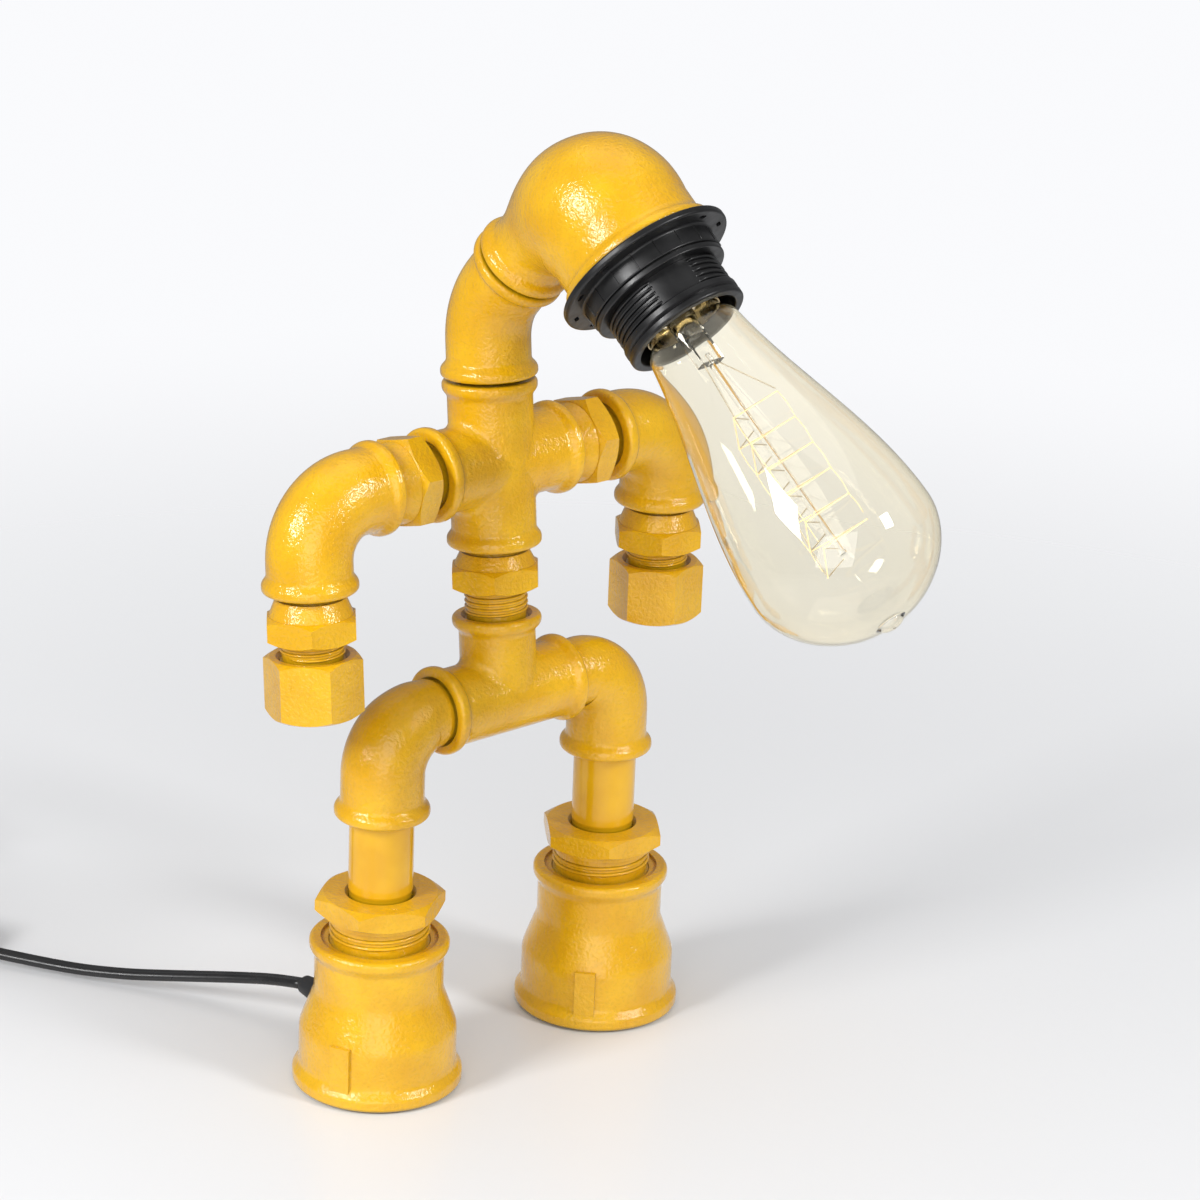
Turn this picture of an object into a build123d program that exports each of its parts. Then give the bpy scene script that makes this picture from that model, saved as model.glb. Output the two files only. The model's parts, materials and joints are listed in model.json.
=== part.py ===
from build123d import *
from math import cos, pi, radians, sin, sqrt, tan
import os

# Table lamp in the shape of a small standing figure, screwed together from malleable
# iron pipe fittings. Millimetres, +Z up, feet on Z = 0, face towards -Y.
# The origin is the middle of the lamp's footprint, without its mains cord.

# Half inch pipe thread, common to all the small fittings
pipe_r = 10.7
male_r = 10.45
root_r = 9.9
thread_gap = 0.07
pipe_bore_r = 8.0
engage = 12.0
socket_depth = 14.0
end_gap = 0.5
mouth_cut = 1.3
waterway_r = 8.8

# Cast beads round the mouths
bead_flat = 3.0
bead_slope = 2.2
bead_edge = 1.5
bead_blend = 2.4
crotch_fillet = 3.5
branch_step = 0.3

# Feet: reducing sockets with hexagon bushes
foot_height = 51.5
foot_base_r = 28.4
foot_bulge_r = 26.3
foot_neck_r = 21.5
foot_top_r = 23.25
foot_base_bead = 7.0
foot_shoulder_low = 20.0
foot_shoulder_high = 33.0
foot_collar_slope = 3.0
foot_cone = 5.0
foot_mouth_r = 19.475
foot_mouth_depth = 19.0
foot_rib_width = 7.0
foot_rib_height = 16.0
foot_rib_proud = 0.9
foot_rib_root = 1.2
foot_rib_low = 5.5
foot_rib_angle = {"left": 203.6, "right": 219.6}
bush_male_r = 16.6
bush_root_r = 16.0
bush_engage = 15.0
bush_thread_show = 7.1
bush_collar_r = 17.9
bush_collar_height = 2.0
bush_hex_height = 7.0
bush_across_flats = 38.0
bush_corner_angle = {"left": 33.0, "right": 55.0}
foot_waist_r = 15.6

# Legs and hips
leg_pipe_show = 27.5
hip_drop = 30.7
hip_reach = 21.3
hip_bead_r = 15.8
hip_inner_r = 5.2
hip_section_r = [13.8, 13.7, 13.3, 12.4, 11.5]
hip_neck_r = 11.0
hip_seam = 0.5

# Trunk: a tee and a cross on one axis that leans back
torso_lean = 5.1
tee_half = 27.5
tee_rise = 28.0
tee_body_r = 13.0
tee_bead_r = 14.8
cross_half = 27.75
cross_body_r = 14.0
cross_bead_r = 15.6

# Hexagon nipples
hex_across_flats = 28.0
collar_low_r = 11.3
collar_high_r = 13.5
waist_thread = 9.4
waist_hex = 8.1
waist_collar = 4.3
waist_top_thread = 2.0
waist_corner_angle = 11.0
shoulder_thread_out = 1.3
shoulder_collar = 5.7
shoulder_hex = 8.1
shoulder_thread_in = 4.35
shoulder_corner_angle = 20.0
wrist_thread_top = 1.9
wrist_collar = 5.4
wrist_hex = 8.3
wrist_thread_low = 5.4
wrist_corner_angle = 52.5

# Arms
elbow_reach = 28.4
elbow_bend_r = 19.0
elbow_body_r = 13.9
elbow_bead_r = 15.5
arm_lean = {"left": 4.4, "right": 0.0}
hand_height = 19.7
hand_across_flats = 28.0
hand_floor = 4.5
hand_corner_angle = 12.0

# Neck and head
neck_turn = 5.0
neck_seam = 1.0
neck_reach = 22.7
neck_bend_r = 26.0
neck_bead_r = 15.9
neck_angle = 45.0
neck_engage = 10.0
neck_socket = 12.0
head_turn = 0.6
head_rise = 39.9
head_reach = 33.4
head_inner_r = 7.0
head_section_r = [13.8, 16.4, 21.3, 24.6, 24.3]
head_wall = 3.6
head_bead_small_r = 15.9
head_bead_large_r = 26.4
head_mouth_r = 19.475

# Lamp holder
ring_r = 29.4
ring_thick = 2.4
ring_bore_gap = 0.3
ring_slot_circle_r = 26.3
ring_slot_length = 3.4
ring_slot_width = 1.5
ring_slot_angles = [43.0, 74.0, 159.0, 190.0, 223.0, 254.0, 339.0, 10.0]
hub_r = 23.2
hub_end = 8.6
hub_groove_r = 22.0
hub_lip_r = 22.9
hub_lip_start = 9.2
hub_lip_end = 10.8
skirt_r = 18.9
skirt_wall = 1.6
skirt_end = 25.9
skirt_back = 13.0
collar_start = 20.4
collar_r = 20.3
collar_groove = 0.7
core_thick = 5.0
core_back = 12.0
core_rim = 4.0
core_gap = 0.1
shell_r = 14.05
shell_wall = 0.5
shell_end = 18.0
contact_r = 3.2
contact_stem_r = 1.3
terminal_offset = 8.0
terminal_r = 2.0
terminal_height = 1.6
cap_depth = 7.0
cap_wall = 1.5
cap_round = 3.0

# Filament bulb, measured along its axis from the head's mouth
bulb_cap_r = 13.15
bulb_cap_wall = 0.45
bulb_cap_back = 1.2
bulb_cap_cone_r = 1.5
bulb_cap_cone_end = 2.5
bulb_cap_end = 23.0
bulb_neck_r = 15.9
bulb_neck_at = 29.0
bulb_neck_slope = 0.13
bulb_seat_r = 12.3
bulb_seat_at = 17.0
bulb_belly_r = 31.4
bulb_belly_at = 110.8
bulb_tip_at = 137.0
glass_wall = 0.7
pip_r = 4.5
pip_height = 2.2
insulator_r = 9.0
insulator_depth = 1.8
tip_contact_r = 3.6
tip_contact_depth = 0.9
contact_gap = 0.3
stem_r = 5.0
stem_end = 38.5
pinch_length = 12.0
pinch_thick = 4.0
rod_r = 1.0
rod_end = 111.5
wire_r = 0.2
hook_circle_r = 11.0
hook_start = 57.0
hook_pitch = 9.8
hooks_per_turn = 3
hook_count = 18
lead_spread = 3.0
strand_stand_off = 1.0
strand_bead_r = 0.27

# Mains cord: flat twin, drawn round at its full width
cord_width = 5.2
cord_height = 18.0
inner_cord_r = 2.2
cord_break = 0.3
grommet_r = 4.5
grommet_flange_r = 6.2
grommet_flange = 1.6
grommet_nose = 12.0
grommet_nose_r = 3.2
grommet_fit = 0.05
foot_bend_r = 12.0
head_bend_r = 12.0
head_cord_drop = 6.0
cord_into_holder = 17.0

# Route of the free cord, measured from the axis of the left foot
cord_route = [
    (-1.0, 52.0, 15.4),
    (-8.2, 70.0, 11.4),
    (-18.0, 89.0, 7.4),
    (-29.2, 107.0, 4.4),
    (-42.0, 128.5, 2.9),
]
switch_heading = 121.7
switch_run = 34.0

# Inline switch
switch_length = 58.0
switch_width = 26.0
switch_base_height = 9.0
switch_lid_height = 8.5
switch_corner_r = 9.0
switch_edge = 2.0
switch_cord_height = 4.8
switch_screw_r = 1.6
switch_screw_spacing = 34.0
switch_screw_seat = 1.5
switch_screw_head = 1.1
rocker_length = 15.0
rocker_width = 9.0
rocker_gap = 0.4
rocker_tilt = 8.0
rocker_depth = 5.0
rocker_pivot_depth = 2.0
rocker_proud = 2.2

# Coil of the length that is put away, its tie and its plug
tail_run = 12.0
tail_length = 34.0
tail_offset = 3.0
coil_outer_r = 30.6
coil_pitch = 5.7
coil_half_turns = 4
coil_layers = 4
tie_width = 4.0
tie_thick = 0.8
tie_gap = 0.4
tie_corner_r = 3.0
plug_length = 26.0
plug_width = 33.0
plug_grip_width = 25.0
plug_tail_width = 15.0
plug_thick = 13.6
plug_front = 8.0
plug_waist_share = 0.45
plug_edge = 2.5
plug_boot_length = 12.0
plug_boot_r = 5.6
plug_above_coil = 0.2
pin_r = 2.0
pin_length = 19.0
pin_depth = 8.0
pin_spacing = 18.6

# Route from the coil's end over its top to the plug: across, along, and share of the climb
plug_route = [
    (0.0, 13.9, 0.0),
    (7.0, 25.9, 0.2),
    (19.0, 32.9, 0.46),
    (33.0, 32.9, 0.65),
    (45.0, 25.9, 0.82),
    (52.0, 13.9, 1.0),
    (52.0, 0.0, 1.0),
]

# Places that follow from the sizes
up = Vector(0, sin(radians(torso_lean)), cos(radians(torso_lean)))
ahead = Vector(0, -cos(radians(torso_lean)), sin(radians(torso_lean)))
across = Vector(1, 0, 0)
gaze = ahead * cos(radians(neck_turn)) + across * sin(radians(neck_turn))
neck_dir = up * cos(radians(neck_angle)) + gaze * sin(radians(neck_angle))
face_dir = up.cross(gaze).cross(neck_dir)
face_dir = face_dir * cos(radians(head_turn)) + neck_dir.cross(face_dir) * sin(radians(head_turn))

hip_height = (foot_height + bush_thread_show + bush_collar_height + bush_hex_height
              + leg_pipe_show + hip_drop)
leg_x = tee_half + hip_reach
waist_length = waist_thread + waist_hex + waist_collar + waist_top_thread
shoulder_length = shoulder_thread_out + shoulder_collar + shoulder_hex + shoulder_thread_in
wrist_length = wrist_thread_top + wrist_collar + wrist_hex + wrist_thread_low
shoulder_rise = tee_rise + waist_length + cross_half
arm_x = cross_half + shoulder_length + elbow_reach
cross_top = shoulder_rise + cross_half
socket_r = male_r + thread_gap

hip_to_neck = up * (cross_top + neck_seam + neck_reach)
hip_to_head = hip_to_neck + neck_dir * (neck_reach + neck_seam + head_rise)
hip_to_mouth = hip_to_head + face_dir * head_reach

with BuildLine() as bulb_side:
    Spline((bulb_neck_r, bulb_neck_at), (bulb_belly_r, bulb_belly_at),
           tangents=((bulb_neck_slope, 1), (0, 1)))
    EllipticalCenterArc((0, bulb_belly_at), bulb_belly_r, bulb_tip_at - bulb_belly_at,
                        start_angle=0, arc_size=90)
bulb_reach = max(
    -(hip_to_mouth.Y + face_dir.Y * (edge @ (step / 20)).Y)
    + (edge @ (step / 20)).X * sqrt(1 - face_dir.Y ** 2)
    for edge in bulb_side.edges() for step in range(21))
leg_y = (bulb_reach - foot_base_r) / 2

hip = Vector(0, leg_y, hip_height)
chest = hip + up * shoulder_rise
neck_corner = hip + hip_to_neck
head_corner = hip + hip_to_head
mouth = hip + hip_to_mouth


def turn(place, outline, radii=None, mode=Mode.ADD):
    """Turn an outline of (radius, height) points about the axis of a plane."""
    section = Plane(origin=place.origin, x_dir=place.x_dir, z_dir=-place.y_dir)
    with BuildSketch(section) as profile:
        with BuildLine():
            if radii is None:
                Polyline(*outline, close=True)
            else:
                FilletPolyline(*outline, radius=radii, close=True)
        make_face()
    revolve(profile.sketch, axis=Axis(place.origin, place.z_dir), mode=mode)


def drill(place, radius, start, end, mode=Mode.SUBTRACT):
    """A straight hole, or with another mode a rod, along the axis of a plane."""
    turn(place, [(0, start), (radius, start), (radius, end), (0, end)], mode=mode)


def looking(origin, direction, side=(1, 0, 0)):
    """A plane at origin that faces direction, with its x as near to side as it can be."""
    direction = Vector(*direction).normalized()
    side = Vector(*side)
    return Plane(origin=origin, x_dir=side - direction * side.dot(direction), z_dir=direction)


def arm(face, depth, body_r, bead_r):
    """One leg of a fitting, from its mouth inwards, with the cast bead round the mouth."""
    top = bead_flat + bead_slope
    turn(face,
         [(0, 0), (bead_r, 0), (bead_r, bead_flat), (body_r, top), (body_r, depth), (0, depth)],
         [0, bead_edge, bead_blend, bead_blend, 0, 0])


def mouth_cutter(face, depth, screw_r=socket_r):
    """The screwed hole in a mouth, with its countersunk edge."""
    turn(face,
         [(0, -1), (screw_r + mouth_cut, -1), (screw_r + mouth_cut, 0), (screw_r, mouth_cut),
          (screw_r, depth), (0, depth)],
         mode=Mode.SUBTRACT)


def bend(corner, start, end, reach, bend_r, tube_r, mode=Mode.ADD):
    """A tube of even width round a corner, with straight ends as long as the reach leaves."""
    angle = start.get_angle(end)
    setback = bend_r * tan(radians(angle / 2))
    hinge_dir = start.cross(end).normalized()
    first = corner - start * setback
    centre = first + (end - start * start.dot(end)).normalized() * bend_r
    with BuildSketch(looking(first, start, hinge_dir)) as section:
        Circle(tube_r)
    revolve(section.sketch, axis=Axis(centre, hinge_dir), revolution_arc=angle, mode=mode)
    last = corner + end * setback
    for spot, way in ((first, -start), (last, end)):
        with BuildSketch(looking(spot, way, hinge_dir)) as stub:
            Circle(tube_r)
        extrude(stub.sketch, amount=reach - setback, mode=mode)


def fan(corner, start, end, inner_r, radii, wall=0.0, mode=Mode.ADD):
    """A bend of changing width: round sections that stand round one pivot like a fan."""
    pivot = corner - start * (inner_r + radii[-1]) + end * (inner_r + radii[0])
    centres = []
    sections = []
    for step, radius in enumerate(radii):
        turned = radians(90 * step / (len(radii) - 1))
        spoke = start * sin(turned) - end * cos(turned)
        forward = start * cos(turned) + end * sin(turned)
        centres.append(pivot + spoke * (inner_r + radius))
        with BuildSketch(looking(centres[-1], forward, start.cross(end))) as section:
            Circle(radius - wall)
        sections.append(section.sketch)
    with BuildLine() as spine:
        Spline(*centres, tangents=(start, end))
    sweep(sections, path=spine.line, multisection=True, mode=mode)


def hexagon(place, across_flats, low, high, corner_angle):
    """A hexagon with the corners of both faces turned off."""
    corner_r = across_flats / sqrt(3)
    flat_r = across_flats / 2 - 0.2
    drop = (corner_r - flat_r) * tan(radians(30))
    with BuildSketch(place.offset(low)) as head:
        RegularPolygon(corner_r, 6, rotation=corner_angle)
    extrude(head.sketch, amount=high - low)
    turn(place,
         [(0, low), (flat_r, low), (corner_r, low + drop), (corner_r, high - drop),
          (flat_r, high), (0, high)],
         mode=Mode.INTERSECT)


def hexagon_nipple(place, thread_a, collar, hexagon_height, thread_b, corner_angle):
    """A hexagon nipple on a plane at the mouth that its collar faces."""
    hex_low = thread_a + collar
    hex_high = hex_low + hexagon_height
    far_mouth = hex_high + thread_b
    hexagon(place, hex_across_flats, hex_low, hex_high, corner_angle)
    turn(place,
         [(0, -engage), (male_r, -engage), (male_r, -mouth_cut), (root_r, -mouth_cut),
          (root_r, thread_a), (collar_low_r, thread_a), (collar_high_r, hex_low),
          (root_r, hex_high), (root_r, far_mouth + mouth_cut), (male_r, far_mouth + mouth_cut),
          (male_r, far_mouth + engage), (0, far_mouth + engage)])
    drill(place, pipe_bore_r, -engage - 1, far_mouth + engage + 1)


def close_nipple(place, length, waist):
    """A nipple that two mouths hide, screwed to its middle, where a seam shows its root."""
    half = length / 2
    turn(place,
         [(0, -half), (male_r, -half), (male_r, -waist), (root_r, -waist), (root_r, waist),
          (male_r, waist), (male_r, half), (0, half)])
    drill(place, pipe_bore_r, -half - 1, half + 1)


def cord_along(points, radii, cord_r):
    """A round cord along straight runs joined by arcs."""
    with BuildLine() as route:
        if len(points) > 2:
            FilletPolyline(*points, radius=radii)
        else:
            Polyline(*points)
    with BuildSketch(looking(route.line @ 0, route.line % 0, (0, 0, 1))) as section:
        Circle(cord_r)
    sweep(section.sketch, path=route.line)


def easy_radii(points):
    """The largest arcs that neighbouring runs of a route leave room for."""
    radii = []
    for before, here, after in zip(points, points[1:], points[2:]):
        incoming = Vector(*here) - Vector(*before)
        outgoing = Vector(*after) - Vector(*here)
        half_turn = radians(incoming.get_angle(outgoing) / 2)
        radii.append(0.45 * min(incoming.length, outgoing.length) / tan(half_turn))
    print("cord radii", [round(radius, 1) for radius in radii])
    return radii


def save(piece, name):
    """Label a finished piece and write it to its own file."""
    piece.part.label = name
    export_step(piece.part, f"parts/{name}.step")


os.makedirs("parts", exist_ok=True)

# Feet, bushes, leg pipes and hip elbows, left then right

bush_low = foot_height - bush_engage
bush_top = foot_height + bush_thread_show + bush_collar_height + bush_hex_height
hip_face = bush_top + leg_pipe_show

for side, sign in (("left", -1), ("right", 1)):
    ground = Plane(origin=(sign * leg_x, leg_y, 0), x_dir=(1, 0, 0), z_dir=(0, 0, 1))
    cord_hole = looking(ground.origin + Vector(0, 0, cord_height), (0, 1, 0))

    with BuildPart() as foot_socket:
        turn(ground,
             [(foot_mouth_r, 0), (foot_base_r, 0), (foot_base_r, foot_base_bead - foot_collar_slope),
              (foot_bulge_r, foot_base_bead), (foot_bulge_r, foot_shoulder_low),
              (foot_neck_r, foot_shoulder_high), (foot_neck_r, foot_height - bead_flat - foot_collar_slope),
              (foot_top_r, foot_height - bead_flat), (foot_top_r, foot_height),
              (foot_mouth_r, foot_height)],
             [0, 1.6, 1.8, 2.5, 9.0, 9.0, 2.4, 2.4, bead_edge, 0])
        turn(ground,
             [(foot_waist_r, foot_mouth_depth + 4), (foot_mouth_r + 2, foot_mouth_depth + 4),
              (foot_neck_r - 1, foot_shoulder_high), (foot_neck_r - 1, foot_height - 1),
              (foot_waist_r, foot_height - 1)])
        with Locations(ground):
            with PolarLocations(foot_bulge_r - foot_rib_root, 2, start_angle=foot_rib_angle[side]):
                with Locations((0, 0, foot_rib_low + foot_rib_height / 2)):
                    Box(2 * (foot_rib_proud + foot_rib_root), foot_rib_width, foot_rib_height)
        drill(ground, foot_mouth_r, -1, foot_mouth_depth)
        turn(ground,
             [(0, foot_mouth_depth - 1), (foot_mouth_r, foot_mouth_depth - 1),
              (foot_mouth_r, foot_mouth_depth), (foot_waist_r, foot_mouth_depth + foot_cone),
              (foot_waist_r, foot_height + 1), (0, foot_height + 1)],
             mode=Mode.SUBTRACT)
        turn(ground,
             [(0, bush_low - end_gap), (bush_male_r + thread_gap, bush_low - end_gap),
              (bush_male_r + thread_gap, foot_height - mouth_cut),
              (bush_male_r + thread_gap + mouth_cut, foot_height),
              (bush_male_r + thread_gap + mouth_cut, foot_height + 1), (0, foot_height + 1)],
             mode=Mode.SUBTRACT)
        if side == "left":
            drill(cord_hole, grommet_r + grommet_fit, foot_waist_r, foot_base_r + 1)
    save(foot_socket, f"{side}_foot_socket")

    with BuildPart() as foot_bush:
        hexagon(ground, bush_across_flats, bush_top - bush_hex_height, bush_top,
                bush_corner_angle[side])
        collar_low = foot_height + bush_thread_show
        turn(ground,
             [(0, bush_low), (bush_male_r, bush_low), (bush_male_r, foot_height - mouth_cut),
              (bush_root_r, foot_height - mouth_cut), (bush_root_r, collar_low),
              (bush_collar_r, collar_low + 0.6), (bush_collar_r, collar_low + bush_collar_height),
              (0, collar_low + bush_collar_height)])
        drill(ground, waterway_r, bush_low - 1, bush_top)
        mouth_cutter(looking((sign * leg_x, leg_y, bush_top), (0, 0, -1)), socket_depth)
    save(foot_bush, f"{side}_foot_bush")

    with BuildPart() as leg_pipe:
        turn(ground,
             [(pipe_bore_r, bush_top - engage), (male_r, bush_top - engage),
              (male_r, bush_top + 0.4), (pipe_r, bush_top + 1.6), (pipe_r, hip_face - 1.2),
              (male_r, hip_face - 0.4), (male_r, hip_face + engage),
              (pipe_bore_r, hip_face + engage)])
    save(leg_pipe, f"{side}_leg_pipe")

    hip_corner = hip + Vector(sign * leg_x, 0, 0)
    inward = Vector(-sign, 0, 0)
    skyward = Vector(0, 0, 1)
    with BuildPart() as hip_elbow:
        first_bend = hip_drop - hip_inner_r - hip_section_r[-1]
        last_bend = hip_inner_r + hip_section_r[0]
        arm(looking(hip_corner - skyward * hip_drop, skyward), first_bend, hip_section_r[0],
            hip_bead_r)
        fan(hip_corner, skyward, inward, hip_inner_r, hip_section_r)
        turn(looking(hip_corner, inward, (0, 0, 1)),
             [(0, last_bend), (hip_section_r[-1], last_bend), (hip_neck_r, hip_reach - hip_seam),
              (root_r, hip_reach - hip_seam), (root_r, hip_reach + mouth_cut),
              (male_r, hip_reach + mouth_cut), (male_r, hip_reach + engage),
              (0, hip_reach + engage)])
        fan(hip_corner, skyward, inward, hip_inner_r, hip_section_r,
            wall=hip_section_r[-1] - pipe_bore_r, mode=Mode.SUBTRACT)
        drill(looking(hip_corner, inward, (0, 0, 1)), pipe_bore_r, last_bend - 1,
              hip_reach + engage + 1)
        mouth_cutter(looking(hip_corner - skyward * hip_drop, skyward), socket_depth)
    save(hip_elbow, f"{side}_hip_elbow")

# Pelvis: the tee and the waist nipple

with BuildPart() as pelvis_tee:
    for sign in (-1, 1):
        arm(looking(hip + across * sign * tee_half, across * -sign, up), tee_half, tee_body_r,
            tee_bead_r)
    arm(looking(hip + up * tee_rise, -up), tee_rise, tee_body_r - branch_step, tee_bead_r)
    crotch = [edge for edge in pelvis_tee.edges() if edge.geom_type == GeomType.BSPLINE]
    fillet(crotch, crotch_fillet)
    drill(looking(hip - across * tee_half, across, up), waterway_r, 0, 2 * tee_half)
    drill(looking(hip, up), waterway_r - branch_step, 0, tee_rise)
    for sign in (-1, 1):
        mouth_cutter(looking(hip + across * sign * tee_half, across * -sign, up), socket_depth)
    mouth_cutter(looking(hip + up * tee_rise, -up), socket_depth)
save(pelvis_tee, "pelvis_tee")

cross_low = looking(hip + up * (tee_rise + waist_length), -up)
with BuildPart() as waist_nipple:
    hexagon_nipple(cross_low, waist_top_thread, waist_collar, waist_hex, waist_thread,
                   waist_corner_angle)
save(waist_nipple, "waist_nipple")

# Chest: the cross, the shoulder nipples and the neck nipple

with BuildPart() as chest_cross:
    for way in (up, -up):
        arm(looking(chest + way * cross_half, -way), cross_half, cross_body_r, cross_bead_r)
    for way in (across, -across):
        arm(looking(chest + way * cross_half, -way, up), cross_half, cross_body_r - branch_step,
            cross_bead_r)
    crotch = [edge for edge in chest_cross.edges() if edge.geom_type == GeomType.BSPLINE]
    fillet(crotch, crotch_fillet)
    drill(looking(chest - up * cross_half, up), waterway_r, 0, 2 * cross_half)
    drill(looking(chest - across * cross_half, across, up), waterway_r - branch_step, 0,
          2 * cross_half)
    for way in (up, -up):
        mouth_cutter(looking(chest + way * cross_half, -way), socket_depth)
    for way in (across, -across):
        mouth_cutter(looking(chest + way * cross_half, -way, up), socket_depth)
save(chest_cross, "chest_cross")

shoulder_start = {"left": -cross_half - shoulder_length, "right": cross_half}
for side, sign in (("left", -1), ("right", 1)):
    rise = up * cos(radians(arm_lean[side] - torso_lean)) - ahead * sin(
        radians(arm_lean[side] - torso_lean))
    collar_face = looking(chest + across * shoulder_start[side], across, up)
    threads = (shoulder_thread_out, shoulder_thread_in)
    with BuildPart() as shoulder_nipple:
        hexagon_nipple(collar_face, threads[0], shoulder_collar, shoulder_hex, threads[1],
                       shoulder_corner_angle)
    save(shoulder_nipple, f"{side}_shoulder_nipple")

    shoulder_corner = chest + across * sign * arm_x
    outward = across * sign
    drop = rise * -1
    with BuildPart() as arm_elbow:
        bend(shoulder_corner, outward, drop, elbow_reach, elbow_bend_r, elbow_body_r)
        for way in (outward * -1, drop):
            arm(looking(shoulder_corner + way * elbow_reach, way * -1, rise + across),
                elbow_reach - elbow_bend_r, elbow_body_r, elbow_bead_r)
        bend(shoulder_corner, outward, drop, elbow_reach, elbow_bend_r, waterway_r,
             mode=Mode.SUBTRACT)
        for way in (outward * -1, drop):
            mouth_cutter(looking(shoulder_corner + way * elbow_reach, way * -1, rise + across),
                         socket_depth)
    save(arm_elbow, f"{side}_arm_elbow")

    elbow_low = looking(shoulder_corner + drop * elbow_reach, drop)
    with BuildPart() as wrist_nipple:
        hexagon_nipple(elbow_low, wrist_thread_top, wrist_collar, wrist_hex, wrist_thread_low,
                       -wrist_corner_angle)
    save(wrist_nipple, f"{side}_wrist_nipple")

    with BuildPart() as hand_cap:
        hexagon(elbow_low, hand_across_flats, wrist_length, wrist_length + hand_height,
                -hand_corner_angle)
        mouth_cutter(elbow_low.offset(wrist_length), hand_height - hand_floor)
    save(hand_cap, f"{side}_hand_cap")

with BuildPart() as neck_lower_nipple:
    close_nipple(looking(hip + up * (cross_top + neck_seam / 2), up),
                 2 * neck_engage + neck_seam, neck_seam / 2 + mouth_cut)
save(neck_lower_nipple, "neck_lower_nipple")

# Neck: the 45 degree elbow and its hidden nipple

with BuildPart() as neck_elbow:
    setback = neck_bend_r * tan(radians(neck_angle / 2))
    bend(neck_corner, up, neck_dir, neck_reach, neck_bend_r, elbow_body_r)
    for way in (up * -1, neck_dir):
        arm(looking(neck_corner + way * neck_reach, way * -1), neck_reach - setback,
            elbow_body_r, neck_bead_r)
    bend(neck_corner, up, neck_dir, neck_reach, neck_bend_r, waterway_r, mode=Mode.SUBTRACT)
    for way in (up * -1, neck_dir):
        mouth_cutter(looking(neck_corner + way * neck_reach, way * -1), neck_socket)
save(neck_elbow, "neck_elbow")

neck_seam_middle = neck_corner + neck_dir * (neck_reach + neck_seam / 2)
with BuildPart() as neck_upper_nipple:
    close_nipple(looking(neck_seam_middle, neck_dir), 2 * neck_engage + neck_seam,
                 neck_seam / 2 + mouth_cut)
save(neck_upper_nipple, "neck_upper_nipple")

# Head: the reducing elbow

with BuildPart() as head_elbow:
    small_face = looking(head_corner - neck_dir * head_rise, neck_dir)
    large_face = looking(mouth, -face_dir)
    arm(small_face, head_rise - head_inner_r - head_section_r[-1], head_section_r[0],
        head_bead_small_r)
    arm(large_face, head_reach - head_inner_r - head_section_r[0], head_section_r[-1],
        head_bead_large_r)
    fan(head_corner, neck_dir, face_dir, head_inner_r, head_section_r)
    fan(head_corner, neck_dir, face_dir, head_inner_r, head_section_r, wall=head_wall,
        mode=Mode.SUBTRACT)
    mouth_cutter(large_face, head_reach - head_inner_r - head_section_r[0], head_mouth_r)
    mouth_cutter(small_face, neck_socket)
save(head_elbow, "head_elbow")

# Lamp holder, on a plane at the head's mouth that looks along the bulb

holder = looking(mouth, face_dir)

with BuildPart() as holder_ring:
    bore = skirt_r + ring_bore_gap
    turn(holder,
         [(bore, 0), (ring_r, 0), (ring_r, ring_thick), (hub_r, ring_thick), (hub_r, hub_end),
          (hub_groove_r, hub_end), (hub_groove_r, hub_lip_start), (hub_lip_r, hub_lip_start),
          (hub_lip_r, hub_lip_end), (bore, hub_lip_end)],
         [0, 0.6, 0.8, 0.8, 0.5, 0, 0, 0, 0.5, 0])
    for angle in ring_slot_angles:
        with BuildSketch(holder.offset(-1)) as slot:
            with PolarLocations(ring_slot_circle_r, 1, start_angle=angle):
                SlotOverall(ring_slot_length, ring_slot_width, rotation=90)
        extrude(slot.sketch, amount=ring_thick + 2, mode=Mode.SUBTRACT)
save(holder_ring, "holder_ring")

with BuildPart() as holder_skirt:
    inner = skirt_r - skirt_wall
    groove = (collar_start + skirt_end) / 2
    turn(holder,
         [(inner, -skirt_back), (skirt_r, -skirt_back), (skirt_r, collar_start),
          (collar_r, collar_start), (collar_r, groove - collar_groove),
          (collar_r - collar_groove, groove), (collar_r, groove + collar_groove),
          (collar_r, skirt_end), (inner, skirt_end)],
         [0, 0, 0, 0.6, 0, 0, 0, 0.8, 0.5])
save(holder_skirt, "holder_skirt")

cap_plane = holder.offset(-skirt_back)
with BuildPart() as holder_cap:
    turn(cap_plane,
         [(0, 0), (skirt_r, 0), (skirt_r, -cap_depth), (0, -cap_depth)], [0, 0, cap_round, 0])
    turn(cap_plane,
         [(0, 1), (skirt_r - cap_wall, 1), (skirt_r - cap_wall, cap_wall - cap_depth),
          (0, cap_wall - cap_depth)],
         [0, 0, cap_round - cap_wall, 0], mode=Mode.SUBTRACT)
    cord_port = looking(cap_plane.origin - neck_dir * head_cord_drop, face_dir)
    drill(cord_port, inner_cord_r + cord_break, -cap_depth - 1, 0)
save(holder_cap, "holder_cap")

core_r = skirt_r - skirt_wall - core_gap
with BuildPart() as terminal_core:
    core_face = core_thick - core_back
    turn(holder,
         [(0, -core_back), (core_r, -core_back), (core_r, core_rim), (shell_r + core_gap, core_rim),
          (shell_r + core_gap, core_face), (0, core_face)])
    drill(holder, contact_stem_r + core_gap, -core_back - 1, 0)
    port = looking(holder.origin - neck_dir * head_cord_drop, face_dir)
    drill(port, inner_cord_r + cord_break, -core_back - 1, -core_back + 2)
save(terminal_core, "terminal_core")

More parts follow.
